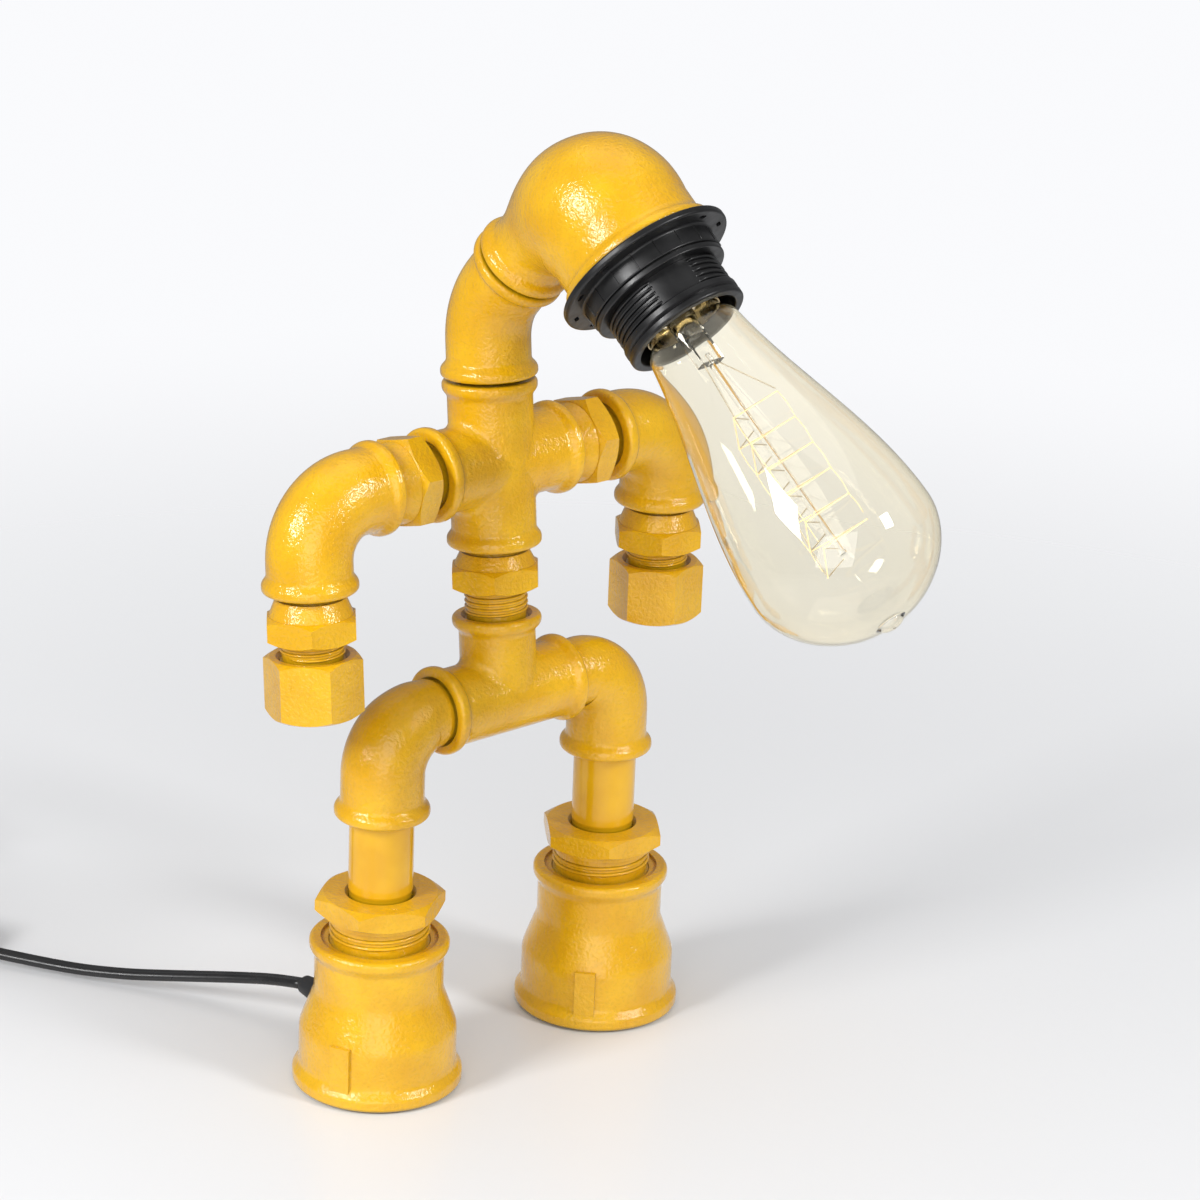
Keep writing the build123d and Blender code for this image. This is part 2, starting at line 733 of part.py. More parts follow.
with BuildPart() as contact_shell:
    drill(holder, shell_r, core_face, shell_end, mode=Mode.ADD)
    drill(holder, shell_r - shell_wall, core_face - 1, shell_end + 1)
save(contact_shell, "contact_shell")

tip_back = bulb_cap_back + insulator_depth + tip_contact_depth
contact_top = -tip_back - contact_gap
with BuildPart() as centre_contact:
    turn(holder,
         [(0, -core_back + 0.5), (contact_stem_r, -core_back + 0.5),
          (contact_stem_r, contact_top - 1.2), (contact_r, contact_top - 0.6),
          (contact_r - 0.6, contact_top), (0, contact_top)])
save(centre_contact, "centre_contact")

with BuildPart() as terminal_screws:
    for sign in (-1, 1):
        spot = looking(holder.origin + holder.x_dir * sign * terminal_offset, face_dir)
        drill(spot, terminal_r, -core_back - terminal_height, -core_back, mode=Mode.ADD)
save(terminal_screws, "terminal_screws")

# Bulb: glass, cap, insulator, tip, stem, rod, wires and filament

def glass_side(inset):
    """One side of the glass, from its seat up to the edge of its sealed tip."""
    neck = (bulb_neck_r - inset, bulb_neck_at)
    reach = bulb_belly_r - inset
    rise = bulb_tip_at - inset - bulb_belly_at
    Line((bulb_seat_r - inset, bulb_seat_at), (bulb_seat_r - inset, bulb_cap_end))
    Spline((bulb_seat_r - inset, bulb_cap_end), neck, tangents=((0, 1), (bulb_neck_slope, 1)))
    Spline(neck, (reach, bulb_belly_at), tangents=((bulb_neck_slope, 1), (0, 1)))
    Spline((reach, bulb_belly_at),
           (reach * sqrt(0.5), bulb_belly_at + rise * sqrt(0.5)), (pip_r, bulb_tip_at - inset),
           tangents=((0, 1), (-1, 0)))


with BuildPart() as bulb_glass:
    section = Plane(origin=holder.origin, x_dir=holder.x_dir, z_dir=-holder.y_dir)
    with BuildSketch(section) as profile:
        with BuildLine():
            glass_side(0)
            TangentArc((0, bulb_tip_at + pip_height), (pip_r, bulb_tip_at), tangent=(1, 0))
            Line((0, bulb_tip_at + pip_height), (0, bulb_tip_at - glass_wall))
            Line((0, bulb_tip_at - glass_wall), (pip_r, bulb_tip_at - glass_wall))
            glass_side(glass_wall)
            Line((bulb_seat_r, bulb_seat_at), (bulb_seat_r - glass_wall, bulb_seat_at))
        make_face()
    revolve(profile.sketch, axis=Axis(holder.origin, holder.z_dir))
save(bulb_glass, "bulb_glass")

with BuildPart() as bulb_cap:
    inner = bulb_cap_r - bulb_cap_wall
    turn(holder,
         [(insulator_r, -bulb_cap_back), (bulb_cap_r - bulb_cap_cone_r, -bulb_cap_back),
          (bulb_cap_r, bulb_cap_cone_end), (bulb_cap_r, bulb_cap_end), (inner, bulb_cap_end),
          (inner, bulb_cap_cone_end), (inner - bulb_cap_cone_r, bulb_cap_wall - bulb_cap_back),
          (insulator_r, bulb_cap_wall - bulb_cap_back)])
save(bulb_cap, "bulb_cap")

with BuildPart() as bulb_insulator:
    low = -bulb_cap_back - insulator_depth
    turn(holder,
         [(0, low), (tip_contact_r + 1, low), (insulator_r - 0.05, -bulb_cap_back),
          (insulator_r - 0.05, bulb_cap_wall - bulb_cap_back), (0, bulb_cap_wall - bulb_cap_back)])
save(bulb_insulator, "bulb_insulator")

with BuildPart() as bulb_tip:
    turn(holder,
         [(0, -tip_back), (tip_contact_r - 1, -tip_back), (tip_contact_r, low), (0, low)])
save(bulb_tip, "bulb_tip")

with BuildPart() as bulb_stem:
    pinch_low = stem_end - pinch_length
    turn(holder,
         [(0, bulb_seat_at), (bulb_seat_r - glass_wall - 0.2, bulb_seat_at),
          (stem_r, bulb_seat_at + 4), (stem_r * 0.8, pinch_low + 2), (0, pinch_low + 2)])
    with BuildSketch(holder.offset(pinch_low)) as pinch:
        RectangleRounded(2 * stem_r, pinch_thick, 1.2)
    extrude(pinch.sketch, amount=pinch_length)
    drill(holder, rod_r + 0.05, stem_end - 3, stem_end + 1)
save(bulb_stem, "bulb_stem")

with BuildPart() as bulb_rod:
    turn(holder,
         [(0, stem_end - 3), (rod_r, stem_end - 3), (rod_r, rod_end - 1), (rod_r + 0.5, rod_end - 1),
          (rod_r + 0.5, rod_end), (0, rod_end)])
save(bulb_rod, "bulb_rod")


def hook_spot(index, radius):
    """The place of one filament hook: they climb the rod like a spiral stair."""
    angle = 2 * pi * index / hooks_per_turn + radians(35)
    height = hook_start + hook_pitch * index / hooks_per_turn
    return (holder.origin + holder.x_dir * radius * cos(angle)
            + holder.y_dir * radius * sin(angle) + holder.z_dir * height)


with BuildPart() as filament_hooks:
    for index in range(hook_count):
        root = hook_spot(index, rod_r + 0.03)
        spoke = looking(root, hook_spot(index, 2.0) - root, holder.z_dir)
        drill(spoke, wire_r, 0, hook_circle_r - rod_r, mode=Mode.ADD)
save(filament_hooks, "filament_hooks")

filament_r = hook_circle_r + strand_stand_off
with BuildPart() as filament:
    for index in range(hook_count - 1):
        start = hook_spot(index, filament_r)
        finish = hook_spot(index + 1, filament_r)
        strand = looking(start, finish - start, holder.z_dir)
        drill(strand, wire_r, 0, (finish - start).length, mode=Mode.ADD)
        with Locations(finish):
            Sphere(strand_bead_r)
save(filament, "filament")

with BuildPart() as lead_wires:
    stem_top = holder.origin + holder.z_dir * (stem_end + 0.1)
    first = hook_spot(0, filament_r) - holder.z_dir * strand_stand_off
    last = hook_spot(hook_count - 1, filament_r) - holder.z_dir * strand_stand_off
    for foot_at, tip in ((holder.x_dir * lead_spread, first), (holder.x_dir * -lead_spread, last)):
        start = stem_top + foot_at
        wire = looking(start, tip - start, holder.z_dir + holder.x_dir * 0.3)
        drill(wire, wire_r, 0, (tip - start).length, mode=Mode.ADD)
save(lead_wires, "lead_wires")

# Cord inside the figure, one length for each body, parted on the joint axes

left_foot = Vector(-leg_x, leg_y, 0)
entry = left_foot + Vector(0, foot_waist_r + 1, cord_height)
hip_split = across * (tee_half - engage - end_gap)
waist_split = tee_rise + waist_length + engage + end_gap
neck_split = cross_top + neck_seam + neck_engage + end_gap
head_split = neck_reach + neck_seam + neck_engage + end_gap

with BuildPart() as cord_in_leg:
    cord_along([entry, left_foot + Vector(0, 0, cord_height), hip - across * leg_x,
                hip - hip_split], [foot_bend_r, elbow_bend_r], inner_cord_r)
save(cord_in_leg, "cord_in_leg")

with BuildPart() as cord_in_pelvis:
    cord_along([hip - hip_split + across * cord_break, hip, hip + up * waist_split],
               [foot_bend_r], inner_cord_r)
save(cord_in_pelvis, "cord_in_pelvis")

with BuildPart() as cord_in_torso:
    cord_along([hip + up * (waist_split + cord_break), hip + up * neck_split], None, inner_cord_r)
save(cord_in_torso, "cord_in_torso")

with BuildPart() as cord_in_neck:
    cord_along([hip + up * (neck_split + cord_break), neck_corner,
                neck_corner + neck_dir * head_split], [neck_bend_r], inner_cord_r)
save(cord_in_neck, "cord_in_neck")

with BuildPart() as cord_in_head:
    turn_point = head_corner - neck_dir * head_cord_drop
    cord_along([neck_corner + neck_dir * (head_split + cord_break), turn_point,
                turn_point + face_dir * (head_reach - cord_into_holder)],
               [head_bend_r], inner_cord_r)
save(cord_in_head, "cord_in_head")

# Mains cord: grommet, free stretches, switch, coil, tie and plug

cord_r = cord_width / 2
cord_exit = looking(left_foot + Vector(0, 0, cord_height), (0, 1, 0))
flange_at = foot_bulge_r + 0.05
with BuildPart() as cord_grommet:
    turn(cord_exit,
         [(0, foot_waist_r + 1.2), (grommet_r, foot_waist_r + 1.2), (grommet_r, flange_at),
          (grommet_flange_r, flange_at), (grommet_flange_r, flange_at + grommet_flange),
          (grommet_r, flange_at + grommet_flange + 0.6),
          (grommet_nose_r, flange_at + grommet_flange + grommet_nose),
          (0, flange_at + grommet_flange + grommet_nose)],
         [0, 0, 0, 0.5, 0.5, 0, 0.4, 0])
save(cord_grommet, "cord_grommet")

heading = Vector(cos(radians(switch_heading)), sin(radians(switch_heading)), 0)
sideways = Vector(heading.Y, -heading.X, 0)
lead_points = [left_foot + Vector(0, flange_at + grommet_flange + grommet_nose, cord_height)]
lead_points += [left_foot + Vector(*point) for point in cord_route]
switch_in = lead_points[-1] + heading * switch_run
switch_in = Vector(switch_in.X, switch_in.Y, switch_cord_height)
switch_out = switch_in + heading * switch_length
switch_centre = switch_in + heading * switch_length / 2 - Vector(0, 0, switch_cord_height)
lead_points += [switch_in]
with BuildPart() as cord_lead:
    cord_along(lead_points, easy_radii(lead_points), cord_r)
save(cord_lead, "cord_lead")

switch_floor = Plane(origin=switch_centre, x_dir=heading, z_dir=(0, 0, 1))
switch_top = switch_base_height + switch_lid_height
with BuildPart() as switch_base:
    with BuildSketch(switch_floor) as outline:
        RectangleRounded(switch_length, switch_width, switch_corner_r)
    extrude(outline.sketch, amount=switch_base_height)
    chamfer(switch_base.faces().sort_by(Axis.Z)[0].edges(), switch_edge)
    with BuildSketch(switch_floor.offset(switch_base_height - 4)) as hollow:
        Rectangle(rocker_length + 2, rocker_width + 2)
    extrude(hollow.sketch, amount=5, mode=Mode.SUBTRACT)
save(switch_base, "switch_base")

with BuildPart() as switch_lid:
    with BuildSketch(switch_floor.offset(switch_base_height)) as outline:
        RectangleRounded(switch_length, switch_width, switch_corner_r)
    extrude(outline.sketch, amount=switch_lid_height)
    fillet(switch_lid.faces().sort_by(Axis.Z)[-1].edges(), switch_edge * 2)
    with BuildSketch(switch_floor.offset(switch_base_height - 1)) as window:
        Rectangle(rocker_length + 2 * rocker_gap, rocker_width + 2 * rocker_gap)
    extrude(window.sketch, amount=switch_lid_height + 2, mode=Mode.SUBTRACT)
    with BuildSketch(switch_floor.offset(switch_top - switch_screw_seat)) as screw_seat:
        with Locations((-switch_screw_spacing / 2, 0), (switch_screw_spacing / 2, 0)):
            Circle(switch_screw_r + 0.1)
    extrude(screw_seat.sketch, amount=3, mode=Mode.SUBTRACT)
save(switch_lid, "switch_lid")

with BuildPart() as switch_screws:
    with BuildSketch(switch_floor.offset(switch_top - switch_screw_seat)) as heads:
        with Locations((-switch_screw_spacing / 2, 0), (switch_screw_spacing / 2, 0)):
            Circle(switch_screw_r)
    extrude(heads.sketch, amount=switch_screw_head)
save(switch_screws, "switch_screws")

# The rocker's top is two flats that meet over its pivot. It rests pressed at its cord end.
pivot_height = switch_top - rocker_pivot_depth
tilt = radians(rocker_tilt)
rocker_plane = Plane(origin=switch_centre + Vector(0, 0, pivot_height),
                     x_dir=heading * cos(tilt) + Vector(0, 0, sin(tilt)), z_dir=sideways)
with BuildPart() as switch_rocker:
    half = rocker_length / 2
    lift = half * tan(tilt)
    with BuildSketch(rocker_plane) as rocker_side:
        with BuildLine():
            FilletPolyline((-half + 0.5, -rocker_depth + 2), (half - 0.5, -rocker_depth + 2),
                           (half - 0.3, rocker_proud + lift), (0, rocker_proud),
                           (-half + 0.3, rocker_proud + lift),
                           radius=[1, 1, 0.8, 6, 0.8], close=True)
        make_face()
    extrude(rocker_side.sketch, amount=rocker_width / 2, both=True)
save(switch_rocker, "switch_rocker")

# The coil: half turns on two centres, inwards and outwards again, one layer on another

coil_floor = (switch_centre + heading * (switch_length / 2 + tail_length + cord_width)
              + sideways * (coil_outer_r + tail_offset)
              + Vector(0, 0, cord_r + tie_thick + tie_gap))


def coil_spot(x, y, z):
    """A place in the coil's own frame: across the cord's heading, along it, and up."""
    return coil_floor + sideways * x + heading * y + Vector(0, 0, z)


coil_start = coil_spot(-coil_outer_r, -cord_width, 0)
with BuildPart() as cord_coil:
    with BuildLine() as winding:
        x, z, radius, grow, side = -coil_outer_r, 0.0, coil_outer_r, -coil_pitch / 2, 1
        Line(coil_start, coil_spot(x, 0, z))
        for layer in range(coil_layers):
            top_layer = layer == coil_layers - 1
            for half_turn in range(coil_half_turns - top_layer):
                ThreePointArc(coil_spot(x, 0, z), coil_spot(x + side * radius, side * radius, z),
                              coil_spot(x + 2 * side * radius, 0, z))
                x += 2 * side * radius
                side = -side
                radius += grow
            if not top_layer:
                crest = sqrt(radius ** 2 + coil_pitch ** 2 / 4)
                middle = coil_spot(x + side * radius, side * crest, z + coil_pitch / 2)
                TangentArc(coil_spot(x, 0, z), middle, tangent=heading * side)
                x += 2 * side * radius
                z += coil_pitch
                TangentArc(coil_spot(x, 0, z), middle, tangent=heading * side)
                side = -side
                grow = -grow
                radius += grow
        coil_end = coil_spot(x, side * cord_width, z)
        Line(coil_spot(x, 0, z), coil_end)
    with BuildSketch(looking(coil_start, heading, (0, 0, 1))) as strand:
        Circle(cord_r)
    sweep(strand.sketch, path=winding.line)
save(cord_coil, "cord_coil")

# The least gap between strands, on points of the winding two diameters or more apart
wound = winding.wires()[0]
steps = int(wound.length / 3)
samples = [wound @ (step / steps) for step in range(steps + 1)]
skip = int(cord_width)
least = min((a - b).length for i, a in enumerate(samples) for b in samples[i + skip:])
print("coil length", round(wound.length, 1), "least gap", round(least - cord_width, 2))

tail_points = [switch_out, switch_out + heading * tail_run, coil_start - heading * tail_run,
               coil_start]
with BuildPart() as cord_tail:
    cord_along(tail_points, easy_radii(tail_points), cord_r)
save(cord_tail, "cord_tail")

tie_inner = coil_outer_r - (coil_half_turns / 2) * coil_pitch - cord_r - tie_gap
tie_outer = coil_outer_r + coil_pitch + cord_r + tie_gap
tie_height = (coil_layers - 1) * coil_pitch + cord_width + 2 * tie_gap
tie_middle = coil_spot(-(tie_inner + tie_outer) / 2, 0, (coil_layers - 1) * coil_pitch / 2)
with BuildPart() as cord_tie:
    with BuildSketch(Plane(origin=tie_middle, x_dir=sideways, z_dir=-heading)) as band:
        RectangleRounded(tie_outer - tie_inner + 2 * tie_thick, tie_height + 2 * tie_thick,
                         tie_corner_r + tie_thick)
        RectangleRounded(tie_outer - tie_inner, tie_height, tie_corner_r, mode=Mode.SUBTRACT)
    extrude(band.sketch, amount=tie_width / 2, both=True)
save(cord_tie, "cord_tie")

plug_climb = plug_thick / 2 + cord_r + plug_above_coil
plug_points = [coil_end] + [
    coil_end + sideways * over + heading * along + Vector(0, 0, plug_climb * share)
    for over, along, share in plug_route]
with BuildPart() as cord_plug_lead:
    cord_along(plug_points, easy_radii(plug_points), cord_r)
save(cord_plug_lead, "cord_plug_lead")

plug_plane = looking(plug_points[-1], -heading, sideways)
plug_end = plug_boot_length + plug_length
with BuildPart() as plug_body:
    plug_flat = Plane(origin=plug_plane.origin, x_dir=sideways, z_dir=(0, 0, 1))
    with BuildSketch(plug_flat) as outline:
        with BuildLine():
            waist_at = plug_boot_length + plug_length * plug_waist_share
            FilletPolyline(
                (-plug_tail_width / 2, -plug_boot_length), (plug_tail_width / 2, -plug_boot_length),
                (plug_grip_width / 2, -waist_at), (plug_width / 2, -plug_end + plug_front),
                (plug_width / 2, -plug_end), (-plug_width / 2, -plug_end),
                (-plug_width / 2, -plug_end + plug_front), (-plug_grip_width / 2, -waist_at),
                radius=[3, 3, 12, 6, 1.5, 1.5, 6, 12], close=True)
        make_face()
    extrude(outline.sketch, amount=plug_thick / 2, both=True)
    rims = plug_body.faces().sort_by(Axis.Z)
    fillet(rims[0].edges() + rims[-1].edges(), plug_edge)
    turn(plug_plane,
         [(0, 0), (cord_r + 0.5, 0), (plug_boot_r, plug_boot_length + 2),
          (0, plug_boot_length + 2)])
    for sign in (-1, 1):
        drill(looking(plug_plane.origin + sideways * sign * pin_spacing / 2, -heading, sideways),
              pin_r + 0.02, plug_end - pin_depth, plug_end + 1)
save(plug_body, "plug_body")

with BuildPart() as plug_pins:
    for sign in (-1, 1):
        pin_plane = looking(plug_plane.origin + sideways * sign * pin_spacing / 2, -heading,
                            sideways)
        turn(pin_plane,
             [(0, plug_end - pin_depth), (pin_r, plug_end - pin_depth),
              (pin_r, plug_end + pin_length - 1.2), (pin_r - 1.2, plug_end + pin_length),
              (0, plug_end + pin_length)])
save(plug_pins, "plug_pins")

free_lengths = [piece.part.volume / (pi * cord_r ** 2)
                for piece in (cord_lead, cord_tail, cord_coil, cord_plug_lead)]
print("cord lengths", [round(length, 1) for length in free_lengths],
      "in all", round(sum(free_lengths) + switch_length, 1))
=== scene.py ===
"""Table lamp in the shape of a small figure of yellow pipe fittings, in a pale studio.

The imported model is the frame. This script gives its pieces their materials, adds threads,
ridges and the cord's real section, and sets the camera, floor and lights.
"""

import json
from math import cos, pi, radians, sin

import bmesh
import bpy
from mathutils import Matrix, Vector


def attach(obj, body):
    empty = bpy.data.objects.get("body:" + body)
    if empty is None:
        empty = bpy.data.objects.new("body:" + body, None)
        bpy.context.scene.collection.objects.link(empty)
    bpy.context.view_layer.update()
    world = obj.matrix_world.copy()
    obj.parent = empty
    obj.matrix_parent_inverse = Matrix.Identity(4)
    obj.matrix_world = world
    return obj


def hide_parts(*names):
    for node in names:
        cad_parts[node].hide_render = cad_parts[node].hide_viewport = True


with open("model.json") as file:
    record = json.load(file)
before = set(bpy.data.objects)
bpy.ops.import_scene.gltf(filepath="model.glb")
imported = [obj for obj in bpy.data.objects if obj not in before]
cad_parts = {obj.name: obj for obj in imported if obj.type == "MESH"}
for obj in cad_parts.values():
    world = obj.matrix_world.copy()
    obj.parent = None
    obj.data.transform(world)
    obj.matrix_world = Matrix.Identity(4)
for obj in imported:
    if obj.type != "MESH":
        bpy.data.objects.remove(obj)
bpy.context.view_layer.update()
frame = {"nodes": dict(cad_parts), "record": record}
nodes = frame["nodes"]

MM = 0.001

# Places that the part works out, in metres
TORSO_LEAN = radians(5.1)
UP = Vector((0, sin(TORSO_LEAN), cos(TORSO_LEAN)))
AHEAD = Vector((0, -cos(TORSO_LEAN), sin(TORSO_LEAN)))
ACROSS = Vector((1, 0, 0))
NECK_TURN = radians(5.0)
NECK_ANGLE = radians(45.0)
HEAD_TURN = radians(0.6)
gaze = AHEAD * cos(NECK_TURN) + ACROSS * sin(NECK_TURN)
NECK_DIR = UP * cos(NECK_ANGLE) + gaze * sin(NECK_ANGLE)
level_face = UP.cross(gaze).cross(NECK_DIR)
FACE_DIR = level_face * cos(HEAD_TURN) + NECK_DIR.cross(level_face) * sin(HEAD_TURN)

LEG_X = 48.8 * MM
LEG_Y = 69.578 * MM
HIP = Vector((0, LEG_Y, 125.8 * MM))
CHEST = HIP + UP * 79.55 * MM
NECK_CORNER = HIP + UP * 131.0 * MM
HEAD_CORNER = NECK_CORNER + NECK_DIR * 63.6 * MM
MOUTH = HEAD_CORNER + FACE_DIR * 33.4 * MM
LEFT_FOOT = Vector((-LEG_X, LEG_Y, 0))


# Materials

# Where a Mix node keeps the sockets that this script uses; names repeat among its data types
MIX_FACTOR_INPUT = 0
MIX_NUMBER_INPUTS = (2, 3)
MIX_NUMBER_OUTPUT = 0
MIX_COLOUR_INPUTS = (6, 7)
MIX_COLOUR_OUTPUT = 2


class Shader:
    """A small helper that builds one material's node tree."""

    def __init__(self, name):
        self.material = bpy.data.materials.new(name)
        self.material.use_nodes = True
        self.tree = self.material.node_tree
        self.surface = self.tree.nodes["Principled BSDF"]
        self.output = self.tree.nodes["Material Output"]
        self.coords = self.add("ShaderNodeTexCoord").outputs["Object"]

    def add(self, kind, **inputs):
        """A new node, its inputs set by name, with _ for each space."""
        node = self.tree.nodes.new(kind)
        for key, value in inputs.items():
            node.inputs[key.replace("_", " ")].default_value = value
        return node

    def link(self, source, target):
        self.tree.links.new(source, target)

    def put(self, **inputs):
        """Set the surface's own inputs by name, with _ for each space."""
        for key, value in inputs.items():
            self.surface.inputs[key.replace("_", " ")].default_value = value

    def noise(self, scale, detail=2.0, rough=0.5):
        node = self.add("ShaderNodeTexNoise", Scale=scale, Detail=detail, Roughness=rough)
        self.link(self.coords, node.inputs["Vector"])
        return node.outputs["Fac"]

    def ramp(self, value, low, high, low_out=0.0, high_out=1.0):
        """The value carried from the range low to high over to low_out to high_out."""
        node = self.add("ShaderNodeMapRange", From_Min=low, From_Max=high, To_Min=low_out,
                        To_Max=high_out)
        self.link(value, node.inputs["Value"])
        return node.outputs["Result"]

    def mix(self, factor, first, second):
        """Colours, or a colour and a socket, mixed by a factor."""
        node = self.tree.nodes.new("ShaderNodeMix")
        node.data_type = "RGBA"
        for index, value in zip(MIX_COLOUR_INPUTS, (first, second)):
            if isinstance(value, tuple):
                node.inputs[index].default_value = (*value, 1.0)
            else:
                self.link(value, node.inputs[index])
        self.link(factor, node.inputs[MIX_FACTOR_INPUT])
        return node.outputs[MIX_COLOUR_OUTPUT]

    def bump(self, height, strength, distance, under=None):
        node = self.add("ShaderNodeBump", Strength=strength, Distance=distance)
        self.link(height, node.inputs["Height"])
        if under is not None:
            self.link(under, node.inputs["Normal"])
        return node.outputs["Normal"]

    def openness(self, distance):
        """Near 0 in crevices and 1 in the open."""
        node = self.add("ShaderNodeAmbientOcclusion", Distance=distance)
        node.samples = 8
        return node.outputs["AO"]


def yellow_paint(name, grain, waviness):
    """Thick golden paint over iron: grain shows through it as olive pits, and painted shade
    darkens it to olive in crevices.
    """
    golden, deep, olive_pits_and_shade = (0.80, 0.448, 0.007), (0.70, 0.360, 0.003), (0.34, 0.225, 0.004)
    wave_depth, grain_depth, painted_shade_reach = 0.6 * MM, 0.36 * MM, 3.5 * MM
    shader = Shader(name)
    patches = shader.ramp(shader.noise(60.0, detail=3.0), low=0.35, high=0.7)
    colour = shader.mix(patches, deep, golden)
    speckle = shader.noise(850.0, rough=0.55)
    pits = shader.ramp(speckle, low=0.34, high=0.50, low_out=0.16 * grain, high_out=0.0)
    colour = shader.mix(pits, colour, olive_pits_and_shade)
    # Painted shade: the colour darkens to olive where occlusion finds nearby surfaces, in crevices
    # and between parts
    painted_crevice_shade = shader.ramp(shader.openness(painted_shade_reach), low=0.30, high=0.75, low_out=0.75,
                          high_out=0.0)
    colour = shader.mix(painted_crevice_shade, colour, olive_pits_and_shade)
    shader.link(colour, shader.surface.inputs["Base Color"])
    shader.put(Roughness=0.32, Specular_IOR_Level=0.15, Coat_Weight=1.0, Coat_Roughness=0.09,
               IOR=1.5)
    waves = shader.bump(shader.noise(170.0), waviness, wave_depth)
    grains = shader.bump(speckle, grain, grain_depth, under=waves)
    shader.link(grains, shader.surface.inputs["Normal"])
    shader.link(grains, shader.surface.inputs["Coat Normal"])
    return shader.material


def black_plastic(name, tone, roughness, grain):
    """Black plastic, faintly mottled and bluish, with uneven gloss."""
    dark = (tone, tone, tone * 1.05)
    light = (tone * 1.7, tone * 1.7, tone * 1.8)
    grain_depth = 0.1 * MM
    shader = Shader(name)
    mottled = shader.ramp(shader.noise(90.0, detail=3.0), low=0.3, high=0.7)
    shader.link(shader.mix(mottled, dark, light), shader.surface.inputs["Base Color"])
    uneven = shader.ramp(shader.noise(240.0), low=0.3, high=0.7, low_out=roughness - 0.06,
                         high_out=roughness + 0.08)
    shader.link(uneven, shader.surface.inputs["Roughness"])
    texture = shader.bump(shader.noise(1500.0), grain, grain_depth)
    shader.link(texture, shader.surface.inputs["Normal"])
    shader.put(IOR=1.5)
    return shader.material


def metal(name, colour, roughness):
    """Bare metal with duller stains."""
    dull = tuple(channel * 0.72 for channel in colour)
    shader = Shader(name)
    stains = shader.ramp(shader.noise(160.0, detail=3.0), low=0.35, high=0.75)
    shader.link(shader.mix(stains, colour, dull), shader.surface.inputs["Base Color"])
    uneven = shader.ramp(shader.noise(420.0), low=0.3, high=0.7, low_out=roughness,
                         high_out=roughness + 0.14)
    shader.link(uneven, shader.surface.inputs["Roughness"])
    shader.put(Metallic=1.0)
    return shader.material


def ceramic(name):
    """Unglazed ceramic with fine specks."""
    shader = Shader(name)
    specks = shader.ramp(shader.noise(700.0, detail=3.0), low=0.4, high=0.6)
    colour = shader.mix(specks, (0.72, 0.69, 0.61), (0.80, 0.78, 0.72))
    shader.link(colour, shader.surface.inputs["Base Color"])
    shader.put(Roughness=0.5)
    return shader.material


def glass(name, tint, density, ripple):
    """Clear blown glass that takes its colour from its thickness."""
    ripple_depth = 2.0 * MM
    shader = Shader(name)
    shader.put(Transmission_Weight=1.0, Roughness=0.0, IOR=1.48)
    faint = shader.ramp(shader.noise(40.0), low=0.3, high=0.7)
    colour = shader.mix(faint, (1.0, 1.0, 1.0), (0.985, 0.985, 0.98))
    shader.link(colour, shader.surface.inputs["Base Color"])
    ripples = shader.bump(shader.noise(28.0, detail=1.0), ripple, ripple_depth)
    shader.link(ripples, shader.surface.inputs["Normal"])
    inside = shader.add("ShaderNodeVolumeAbsorption", Color=(*tint, 1.0), Density=density)
    shader.link(inside.outputs["Volume"], shader.output.inputs["Volume"])
    return shader.material


def glowing_filament(name):
    """Thin golden wire with a painted glow: it gives off a little light of its own, though the
    bulb is unlit, so that it stays bright at its width.
    """
    shader = Shader(name)
    strands = shader.ramp(shader.noise(2500.0), low=0.35, high=0.65)
    colour = shader.mix(strands, (0.92, 0.70, 0.34), (1.0, 0.88, 0.60))
    shader.link(colour, shader.surface.inputs["Base Color"])
    shader.link(colour, shader.surface.inputs["Emission Color"])
    # Painted glow: the emission makes the unlit wire shine
    shader.put(Roughness=0.4, Emission_Strength=0.55)
    return shader.material


MATERIALS = {
    "cast_paint": yellow_paint("cast yellow paint", 0.85, 0.40),
    "smooth_paint": yellow_paint("smooth yellow paint", 0.08, 0.10),
    "holder_plastic": black_plastic("holder black plastic", 0.005, 0.36, 0.10),
    "core_ceramic": ceramic("holder core ceramic"),
    "cap_metal": metal("bulb cap brass", (0.83, 0.66, 0.36), 0.22),
    "contact_brass": metal("contact brass", (0.80, 0.60, 0.26), 0.25),
    "amber_glass": glass("amber glass", (0.95, 0.80, 0.30), 260.0, 0.03),
    "clear_glass": glass("clear glass", (0.90, 0.92, 0.90), 20.0, 0.05),
    "black_glass": black_plastic("black glass", 0.010, 0.12, 0.02),
    "wire_metal": metal("wire", (0.78, 0.70, 0.56), 0.30),
    "filament_gold": glowing_filament("filament"),
    "cord_sheath": black_plastic("cord sheath", 0.010, 0.30, 0.15),
    "black_rubber": black_plastic("black rubber", 0.013, 0.50, 0.20),
    "cord_plastic": black_plastic("moulded plug plastic", 0.012, 0.40, 0.25),
    "screw_steel": metal("screw steel", (0.62, 0.62, 0.60), 0.28),
    "pin_metal": metal("plug pin metal", (0.80, 0.76, 0.66), 0.18),
}


def dress(piece, slot):
    """Give a new piece the material of one slot of the record."""
    piece.data.materials.append(MATERIALS[slot])


def dress_cad_nodes():
    """Give every CAD node the material of its slot in the record."""
    for entry in frame["record"]["subparts"]:
        piece = nodes[entry["node"]]
        material = MATERIALS[entry["material_slot"]]
        if piece.material_slots:
            for place in piece.material_slots:
                place.material = material
        else:
            piece.data.materials.append(material)


# Pieces


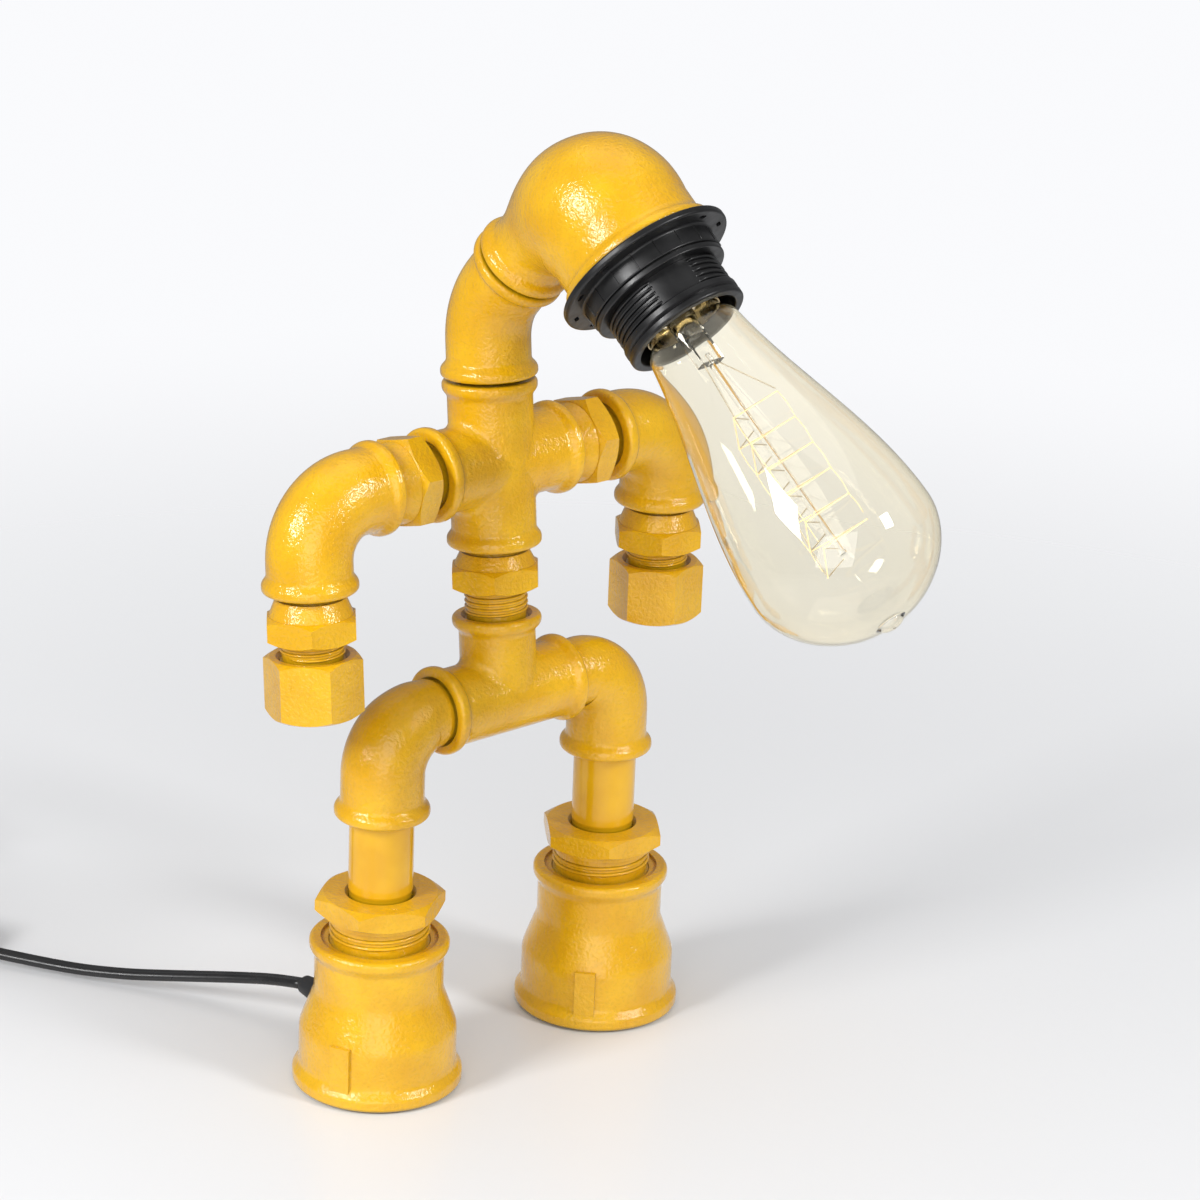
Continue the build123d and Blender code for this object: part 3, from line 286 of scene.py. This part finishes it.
def new_piece(name, points, faces, slot, body, smooth=True):
    """A piece of the scene's own on one body, its faces turned outwards."""
    mesh = bpy.data.meshes.new(name)
    mesh.from_pydata([tuple(point) for point in points], [], faces)
    shell = bmesh.new()
    shell.from_mesh(mesh)
    bmesh.ops.recalc_face_normals(shell, faces=shell.faces)
    shell.to_mesh(mesh)
    shell.free()
    for face in mesh.polygons:
        face.use_smooth = smooth
    piece = bpy.data.objects.new(name, mesh)
    bpy.context.scene.collection.objects.link(piece)
    dress(piece, slot)
    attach(piece, body)
    return piece


def side_of(way):
    """A direction square to way, and the one square to both."""
    helper = Vector((1, 0, 0)) if abs(way.x) < 0.7 else Vector((0, 1, 0))
    first = (helper - way * helper.dot(way)).normalized()
    return first, way.cross(first)


def rings_to_faces(rings, around, closed):
    """Faces between rings of points that follow one another, with ends unless closed."""
    faces = []
    for ring in range(rings if closed else rings - 1):
        below, above = ring * around, (ring + 1) % rings * around
        for step in range(around):
            after = (step + 1) % around
            faces.append((below + step, below + after, above + after, above + step))
    if not closed:
        faces.append(tuple(reversed(range(around))))
        faces.append(tuple(range((rings - 1) * around, rings * around)))
    return faces


THREAD_STEPS = 40           # points in a turn
THREAD_FADE = 6             # steps in which a ridge rises from its shaft
THREAD_SINK = 0.15 * MM     # how deep the ridge's sides stand in the shaft
THREAD_SIDE = 0.38          # half the ridge's foot, as a share of the pitch
THREAD_START = 0.25         # the first turn's place, as a share of the pitch


def thread(name, body, start, way, length, root, crest, pitch, slot="cast_paint", flat=0.08):
    """A screw thread's ridge that climbs round a shaft, from start along way."""
    across, other = side_of(way)
    turns = (length - 2 * THREAD_START * pitch) / pitch
    steps = max(int(turns * THREAD_STEPS), 8)
    points = []
    for step in range(steps + 1):
        angle = 2 * pi * step / THREAD_STEPS
        climb = THREAD_START * pitch + pitch * step / THREAD_STEPS
        fade = min(1.0, step / THREAD_FADE, (steps - step) / THREAD_FADE)
        outward = across * cos(angle) + other * sin(angle)
        height = root + (crest - root) * fade
        for radius, rise in ((root - THREAD_SINK, -THREAD_SIDE), (height, -flat),
                             (height, flat), (root - THREAD_SINK, THREAD_SIDE)):
            points.append(start + way * (climb + rise * pitch) + outward * radius)
    return new_piece(name, points, rings_to_faces(steps + 1, 4, False), slot, body)


# Root radius, crest radius and pitch
HALF_INCH_THREAD = (9.9 * MM, 10.5 * MM, 1.814 * MM)
INCH_THREAD = (16.0 * MM, 16.75 * MM, 2.309 * MM)
BULB_CAP_THREAD = (13.1 * MM, 13.45 * MM, 3.6 * MM)


def add_threads():
    """The pipe threads that show between the fittings."""
    for side, sign in (("left", -1), ("right", 1)):
        bush_seat = Vector((sign * LEG_X, LEG_Y, 51.7 * MM))
        thread(f"{side}_bush_thread", f"{side}_leg", bush_seat, Vector((0, 0, 1)), 6.9 * MM,
               *INCH_THREAD)
    pelvis_mouth = HIP + UP * 28.0 * MM
    thread("waist_thread_low", "pelvis", pelvis_mouth, UP, 9.4 * MM, *HALF_INCH_THREAD)
    thread("waist_thread_top", "pelvis", pelvis_mouth + UP * 21.8 * MM, UP, 2.0 * MM,
           *HALF_INCH_THREAD)
    for side, nipple_start in (("left", -47.2), ("right", 27.75)):
        face = CHEST + ACROSS * nipple_start * MM + ACROSS * 15.1 * MM
        thread(f"{side}_shoulder_thread", "torso", face, ACROSS, 4.35 * MM, *HALF_INCH_THREAD)
    for side, sign, lean in (("left", -1, radians(4.4)), ("right", 1, 0.0)):
        drop = Vector((0, -sin(lean), -cos(lean)))
        face = CHEST + ACROSS * sign * 75.6 * MM + drop * 28.4 * MM
        thread(f"{side}_wrist_thread_top", f"{side}_arm", face, drop, 1.9 * MM,
               *HALF_INCH_THREAD)
        thread(f"{side}_wrist_thread_low", f"{side}_arm", face + drop * 15.6 * MM, drop,
               5.4 * MM, *HALF_INCH_THREAD)


def add_cap_thread():
    """The rolled thread of the bulb's cap, rounder than a pipe's."""
    thread("bulb_cap_thread", "bulb", MOUTH + FACE_DIR * 4.0 * MM, FACE_DIR, 16.0 * MM,
           *BULB_CAP_THREAD, slot="cap_metal", flat=0.16)


HOLDER_X = (ACROSS - FACE_DIR * ACROSS.dot(FACE_DIR)).normalized()
HOLDER_Y = FACE_DIR.cross(HOLDER_X)


def holder_place(radius, angle, height):
    """A place on the holder, from its radius, angle and height over the head's mouth."""
    return (MOUTH + HOLDER_X * radius * cos(angle) + HOLDER_Y * radius * sin(angle)
            + FACE_DIR * height)


def smooth_run(start, end, start_slope, end_slope, steps):
    """Points of a curve between two points that leaves and arrives along the given slopes."""
    reach = (Vector(end) - Vector(start)).length
    first = Vector(start_slope).normalized() * reach
    last = Vector(end_slope).normalized() * reach
    for step in range(steps):
        t = step / steps
        yield (Vector(start) * (2 * t ** 3 - 3 * t ** 2 + 1) + first * (t ** 3 - 2 * t ** 2 + t)
               + Vector(end) * (3 * t ** 2 - 2 * t ** 3) + last * (t ** 3 - t ** 2))


# The bulb's glass, in millimetres over the head's mouth
GLASS_TOP = 137.0
GLASS_WALL = 0.7
PIP_R = 4.5
PIP_HEIGHT = 2.2
PIP_MIDDLE_R = 0.02


def glass_side(inset):
    """Points (radius, height) up one side of the bulb's glass, in millimetres."""
    foot_r, taper, turn_in = 12.3 - inset, (0.13, 1), (-1.15, 1)
    seat, neck, belly = (foot_r, 23.0), (15.9 - inset, 29.0), (31.4 - inset, 110.8)
    shoulder = (22.1 - inset * 0.7, 129.4 - inset * 0.7)
    tip = (PIP_R, GLASS_TOP - inset)
    side = [Vector((foot_r, 17.0)), Vector((foot_r, 20.0))]
    side += smooth_run(seat, neck, (0, 1), taper, 12)
    side += smooth_run(neck, belly, taper, (0, 1), 60)
    side += smooth_run(belly, shoulder, (0, 1), turn_in, 24)
    side += smooth_run(shoulder, tip, turn_in, (-1, 0), 24)
    side.append(Vector(tip))
    return side


def add_glass():
    """The bulb's glass, blown thin, with the smooth surface that its reflections need."""
    around, pip_steps = 144, 12
    turns = [pi / 2 * step / pip_steps for step in range(1, pip_steps)]
    outer_pip, inner_pip = (
        [Vector((PIP_R * cos(turn), top + PIP_HEIGHT * sin(turn))) for turn in turns]
        + [Vector((PIP_MIDDLE_R, top + PIP_HEIGHT))]
        for top in (GLASS_TOP, GLASS_TOP - GLASS_WALL))
    outline = (glass_side(0.0) + outer_pip + inner_pip[::-1] + glass_side(GLASS_WALL)[::-1])
    points = [holder_place(spot.x * MM, 2 * pi * step / around, spot.y * MM)
              for spot in outline for step in range(around)]
    glass_piece = new_piece("blown_glass", points, rings_to_faces(len(outline), around, True),
                            "amber_glass", "bulb")
    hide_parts("bulb_glass")


def add_filament_runs():
    """The long strands of the filament, through the beads that stand over one another."""
    hooks, per_turn, ring_r, sides, shares = 18, 3, 12.0 * MM, 6, (0.0, 0.25, 0.5, 0.75)
    first_turn, first_height, climb_per_turn = radians(35), 57.0 * MM, 9.8 * MM
    wire_r, bulge = 0.13 * MM, 0.5 * MM
    for column in range(per_turn):
        angle = 2 * pi * column / per_turn + first_turn
        spots = [holder_place(ring_r, angle, first_height + climb_per_turn * hook / per_turn)
                 for hook in range(column, hooks, per_turn)]
        from_mouth = spots[0] - MOUTH
        outward = (from_mouth - FACE_DIR * from_mouth.dot(FACE_DIR)).normalized()
        along = FACE_DIR.cross(outward)
        points = []
        for before, after in zip(spots, spots[1:]):
            for share in shares:
                middle = before.lerp(after, share) + outward * bulge * sin(pi * share)
                for step in range(sides):
                    turn = 2 * pi * step / sides
                    points.append(middle + (outward * cos(turn) + along * sin(turn)) * wire_r)
        new_piece(f"filament_run_{column}", points,
                  rings_to_faces(len(points) // sides, sides, False), "filament_gold", "bulb")


def add_holder_ridges():
    """The skirt's screw ridges, which its two flats cut through."""
    ridge_count, first, last = 5, 11.9, 19.5
    skirt_r, foot_r, ridge_height = 18.8, 18.7, 1.0
    foot_half, crest_half = 0.72, 0.22
    steps, fade_steps = 48, 2
    flats = ((100.0, 140.0), (280.0, 320.0))
    for ridge in range(ridge_count):
        middle = first + (last - first) * ridge / (ridge_count - 1)
        for part in range(2):
            start, end = flats[part][1], flats[1 - part][0] + 360.0 * part
            points = []
            for step in range(steps + 1):
                angle = radians(start + (end - start) * step / steps)
                fade = min(1.0, step / fade_steps, (steps - step) / fade_steps)
                crest = skirt_r + ridge_height * fade
                for radius, rise in ((foot_r, -foot_half), (crest, -crest_half),
                                     (crest, crest_half), (foot_r, foot_half)):
                    points.append(holder_place(radius * MM, angle, (middle + rise) * MM))
            new_piece(f"skirt_ridge_{ridge}_{part}", points, rings_to_faces(steps + 1, 4, False),
                      "holder_plastic", "head")


def add_hub_ribs():
    """Fine upright lines round the ring's hub."""
    count, low, high = 18, 2.9, 8.2
    foot_r, crest_r, half_turn_of_foot = 23.1, 23.4, 0.012
    for rib in range(count):
        middle = 2 * pi * rib / count
        section = ((foot_r, -half_turn_of_foot), (crest_r, -half_turn_of_foot / 2),
                   (crest_r, half_turn_of_foot / 2), (foot_r, half_turn_of_foot))
        points = [holder_place(radius * MM, middle + turn, height * MM)
                  for height in (low, high) for radius, turn in section]
        new_piece(f"hub_rib_{rib}", points, rings_to_faces(2, len(section), False),
                  "holder_plastic", "head", smooth=False)


# Cord

CORD_WIDTH = 5.2 * MM
CORD_THICK = 3.2 * MM
CORD_ROUND_STEPS = 8        # facets round each core's outer half
CORD_WAIST_SHARE = 0.80     # the cord's thickness between its cores, as a share


def spline_points(route):
    """The points of a smooth line that has the route's points as its control points."""
    curve = bpy.data.curves.new("route", "CURVE")
    curve.dimensions = "3D"
    curve.resolution_u = 6
    spline = curve.splines.new("NURBS")
    spline.points.add(len(route) - 1)
    for place, point in zip(spline.points, route):
        place.co = (*point, 1.0)
    spline.order_u = 3
    spline.use_endpoint_u = True
    carrier = bpy.data.objects.new("route", curve)
    mesh = bpy.data.meshes.new_from_object(carrier)
    points = [vertex.co.copy() for vertex in mesh.vertices]
    bpy.data.objects.remove(carrier)
    bpy.data.curves.remove(curve)
    bpy.data.meshes.remove(mesh)
    return points


def twin_section():
    """The section of flat twin cord: two round cores side by side under one sheath."""
    core = CORD_THICK / 2
    offset = CORD_WIDTH / 2 - core
    section = []
    for sign in (1, -1):
        for step in range(CORD_ROUND_STEPS + 1):
            angle = sign * (-pi / 2) + pi * step / CORD_ROUND_STEPS
            section.append((sign * offset + core * cos(angle), core * sin(angle)))
        section.append((0.0, sign * core * CORD_WAIST_SHARE))
    return section


def cord_piece(name, route, roll_start, roll_end, start_way, end_way):
    """A flat twin cord along a route, its width turned from one roll angle to another."""
    path = spline_points(route)
    section = twin_section()
    points = []
    total = len(path) - 1
    for index, place in enumerate(path):
        before = path[max(index - 1, 0)]
        after = path[min(index + 1, total)]
        way = (after - before).normalized()
        if index == 0:
            way = start_way
        if index == total:
            way = end_way
        level = Vector((way.y, -way.x, 0)).normalized()
        rise = level.cross(way)
        share = index / total
        eased = share * share * (3 - 2 * share)
        roll = roll_start + (roll_end - roll_start) * eased
        width = level * cos(roll) + rise * sin(roll)
        height = rise * cos(roll) - level * sin(roll)
        for x, y in section:
            points.append(place + width * x + height * y)
    faces = rings_to_faces(total + 1, len(section), False)
    piece = new_piece(name, points, faces, "cord_sheath", "left_leg")
    return piece, path


SWITCH_HEADING = radians(121.7)
HEADING = Vector((cos(SWITCH_HEADING), sin(SWITCH_HEADING), 0))
SIDEWAYS = Vector((HEADING.y, -HEADING.x, 0))

# From the left foot to the switch, in millimetres from the foot's middle on the table
LEAD_ROUTE = [
    (0.0, 39.999, 18.0),
    (-1.0, 52.0, 15.4),
    (-8.2, 70.0, 11.4),
    (-18.0, 89.0, 7.4),
    (-29.2, 107.0, 4.4),
    (-42.0, 128.5, 2.9),
]
SWITCH_RUN = 34.0 * MM
SWITCH_LENGTH = 58.0 * MM
SWITCH_CORD_HEIGHT = 4.8 * MM
TAIL_RUN = 12.0 * MM
TAIL_LENGTH = 34.0 * MM
TAIL_OFFSET = 3.0 * MM
COIL_OUTER = 30.6 * MM
COIL_FLOOR = 3.8 * MM
COIL_PITCH = 5.7 * MM
COIL_LAYERS = 4
COIL_HALF_TURNS = 4
PLUG_CLIMB = 9.6 * MM
# From the winding to the plug: millimetres sideways and ahead, and the share of the climb
PLUG_ROUTE = [
    (0.0, 13.9, 0.0),
    (7.0, 25.9, 0.2),
    (19.0, 32.9, 0.46),
    (33.0, 32.9, 0.65),
    (45.0, 25.9, 0.82),
    (52.0, 13.9, 1.0),
    (52.0, 0.0, 1.0),
]

lead_route = [LEFT_FOOT + Vector(point) * MM for point in LEAD_ROUTE]
switch_in = lead_route[-1] + HEADING * SWITCH_RUN
switch_in.z = SWITCH_CORD_HEIGHT
lead_route.append(switch_in)
switch_out = switch_in + HEADING * SWITCH_LENGTH
coil_floor = (Vector((switch_out.x, switch_out.y, 0))
              + HEADING * (TAIL_LENGTH + CORD_WIDTH)
              + SIDEWAYS * (COIL_OUTER + TAIL_OFFSET) + Vector((0, 0, COIL_FLOOR)))


def coil_spot(x, y, z):
    """A place in the winding, from its sideways, forward and upward distances."""
    return coil_floor + SIDEWAYS * x + HEADING * y + Vector((0, 0, z))


def half_turn(x, side, radius, low, high, steps=12):
    """Points of one half turn from (x, 0), without its last one, that climbs from low to high."""
    centre = x + side * radius
    for step in range(steps):
        angle = pi * step / steps
        share = step / steps
        height = low + (high - low) * share
        yield coil_spot(centre - side * radius * cos(angle), side * radius * sin(angle), height)


def coil_route():
    """The winding: half turns on two centres, inwards and outwards, one layer on another."""
    route = [coil_spot(-COIL_OUTER, -CORD_WIDTH, 0)]
    x, z, radius, grow, side = -COIL_OUTER, 0.0, COIL_OUTER, -COIL_PITCH / 2, 1
    for layer in range(COIL_LAYERS):
        top_layer = layer == COIL_LAYERS - 1
        for _ in range(COIL_HALF_TURNS - top_layer):
            route += half_turn(x, side, radius, z, z)
            x += 2 * side * radius
            side = -side
            radius += grow
        if not top_layer:
            route += half_turn(x, side, radius, z, z + COIL_PITCH)
            x += 2 * side * radius
            z += COIL_PITCH
            side = -side
            grow = -grow
            radius += grow
    route.append(coil_spot(x, 0, z))
    route.append(coil_spot(x, side * CORD_WIDTH, z))
    return route


def add_cords():
    """The cord that lies on the table, in the four stretches that the part has."""
    on_edge = pi / 2
    first_way = (lead_route[1] - lead_route[0]).normalized()
    last_way = (lead_route[-1] - lead_route[-2]).normalized()
    lead, path = cord_piece("free_cord_lead", lead_route, 0.0, 0.0, first_way, last_way)
    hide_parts("cord_lead")

    coil_line = coil_route()
    tail_route = [switch_out, switch_out + HEADING * TAIL_RUN, coil_line[0] - HEADING * TAIL_RUN,
                  coil_line[0]]
    tail, path = cord_piece("free_cord_tail", tail_route, 0.0, on_edge, HEADING, HEADING)
    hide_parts("cord_tail")

    coil, path = cord_piece("free_cord_coil", coil_line, on_edge, on_edge, HEADING, HEADING)
    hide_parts("cord_coil")

    coil_end = coil_line[-1]
    plug_route = [coil_end] + [
        coil_end + SIDEWAYS * over * MM + HEADING * along * MM + Vector((0, 0, PLUG_CLIMB * share))
        for over, along, share in PLUG_ROUTE]
    plug_lead, path = cord_piece("free_cord_plug_lead", plug_route, on_edge, 0.0, HEADING,
                                 -HEADING)
    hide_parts("cord_plug_lead")


# Studio

CAMERA_PLACE = Vector((-0.7611, -0.8108, 0.5857))
CAMERA_AZIMUTH, CAMERA_ELEVATION, CAMERA_ROLL = radians(-42.43), radians(20.09), radians(2.31)
CAMERA_LENS = 113.13


def camera_axes():
    """The camera's right, up and back directions."""
    level_right = Vector((cos(CAMERA_AZIMUTH), sin(CAMERA_AZIMUTH), 0))
    flat_back = Vector((sin(CAMERA_AZIMUTH), -cos(CAMERA_AZIMUTH), 0))
    back = flat_back * cos(CAMERA_ELEVATION) + Vector((0, 0, sin(CAMERA_ELEVATION)))
    level_up = back.cross(level_right)
    right = level_right * cos(CAMERA_ROLL) + level_up * sin(CAMERA_ROLL)
    up = level_up * cos(CAMERA_ROLL) - level_right * sin(CAMERA_ROLL)
    return right, up, back


def add_camera():
    """The camera where the photograph was taken from."""
    data = bpy.data.cameras.new("camera")
    data.sensor_width = 36.0
    data.lens = CAMERA_LENS
    data.clip_start = 0.05
    data.clip_end = 60.0
    camera = bpy.data.objects.new("camera", data)
    turned = Matrix(camera_axes()).transposed().to_4x4()
    camera.matrix_world = Matrix.Translation(CAMERA_PLACE) @ turned
    bpy.context.scene.collection.objects.link(camera)
    bpy.context.scene.camera = camera


def add_floor():
    """A pale table top that fades into the white background away from the lamp."""
    reach, fade_start, fade_end, drop = 4.0, 0.05, 0.95, 0.4 * MM
    shader = Shader("pale table")
    clouds = shader.ramp(shader.noise(2.5), low=0.3, high=0.7)
    colour = shader.mix(clouds, (0.765, 0.77, 0.78), (0.785, 0.79, 0.80))
    shader.link(colour, shader.surface.inputs["Base Color"])
    shader.put(Roughness=0.30, IOR=1.35)
    distance = shader.add("ShaderNodeVectorMath")
    distance.operation = "LENGTH"
    shader.link(shader.coords, distance.inputs[0])
    fade = shader.add("ShaderNodeMapRange", From_Min=fade_start, From_Max=fade_end)
    fade.interpolation_type = "SMOOTHSTEP"
    shader.link(distance.outputs["Value"], fade.inputs["Value"])
    clear = shader.add("ShaderNodeBsdfTransparent")
    blend = shader.add("ShaderNodeMixShader")
    shader.link(fade.outputs["Result"], blend.inputs[0])
    shader.link(shader.surface.outputs[0], blend.inputs[1])
    shader.link(clear.outputs[0], blend.inputs[2])
    shader.link(blend.outputs[0], shader.output.inputs["Surface"])
    mesh = bpy.data.meshes.new("table")
    mesh.from_pydata([(-reach, -reach, 0), (reach, -reach, 0), (reach, reach, 0),
                      (-reach, reach, 0)], [], [(0, 1, 2, 3)])
    floor = bpy.data.objects.new("table", mesh)
    floor.location.z = -drop
    mesh.materials.append(shader.material)
    bpy.context.scene.collection.objects.link(floor)


def add_light(name, place, target, width, height, power):
    """A flat lamp of the given size in metres and power in watts, turned to the target."""
    data = bpy.data.lights.new(name, "AREA")
    data.shape = "RECTANGLE"
    data.size = width
    data.size_y = height
    data.energy = power
    light = bpy.data.objects.new(name, data)
    light.location = place
    light.rotation_euler = (place - target).to_track_quat("Z", "Y").to_euler()
    bpy.context.scene.collection.objects.link(light)


def add_lights():
    """Two small lamps for the highlights, and two large ones that fill in."""
    right, _, back = camera_axes()
    middle = Vector((0, 0.05, 0.17))
    towards_camera = Vector((back.x, back.y, 0)).normalized()
    sky = Vector((0, 0, 1))
    rows = (
        ("left softbox", (0.75, -0.95, 0.75), (0.36, 0.46), 13.2),
        ("right softbox", (0.55, 1.05, 0.70), (0.24, 0.40), 8.5),
        ("overhead softbox", (-0.25, 0.0, 1.5), (1.3, 1.3), 3.3),
        ("front softbox", (1.5, 0.0, 0.35), (1.2, 1.2), 9.3),
    )
    for name, (ahead, aside, above), (width, height), power in rows:
        place = middle + towards_camera * ahead + right * aside + sky * above
        add_light(name, place, middle, width, height, power)


def add_world():
    """White behind the lamp and through its glass, softer in reflections and as fill light."""
    fill, mirrored, seen = 0.43, 0.26, 0.98
    world = bpy.data.worlds.new("studio")
    bpy.context.scene.world = world
    world.use_nodes = True
    tree = world.node_tree
    background = tree.nodes["Background"]
    path = tree.nodes.new("ShaderNodeLightPath")
    level = fill
    base_input, other_input = MIX_NUMBER_INPUTS
    for output, strength in (("Is Glossy Ray", mirrored), ("Is Transmission Ray", seen),
                             ("Is Camera Ray", seen)):
        mix = tree.nodes.new("ShaderNodeMix")
        tree.links.new(path.outputs[output], mix.inputs[MIX_FACTOR_INPUT])
        if isinstance(level, float):
            mix.inputs[base_input].default_value = level
        else:
            tree.links.new(level, mix.inputs[base_input])
        mix.inputs[other_input].default_value = strength
        level = mix.outputs[MIX_NUMBER_OUTPUT]
    tree.links.new(level, background.inputs["Strength"])
    background.inputs["Color"].default_value = (0.975, 0.98, 1.0, 1.0)


dress_cad_nodes()
add_threads()
add_cap_thread()
add_holder_ridges()
add_hub_ribs()
add_glass()
add_filament_runs()
add_cords()
add_camera()
add_floor()
add_lights()
add_world()
bpy.context.scene.view_settings.view_transform = "Standard"
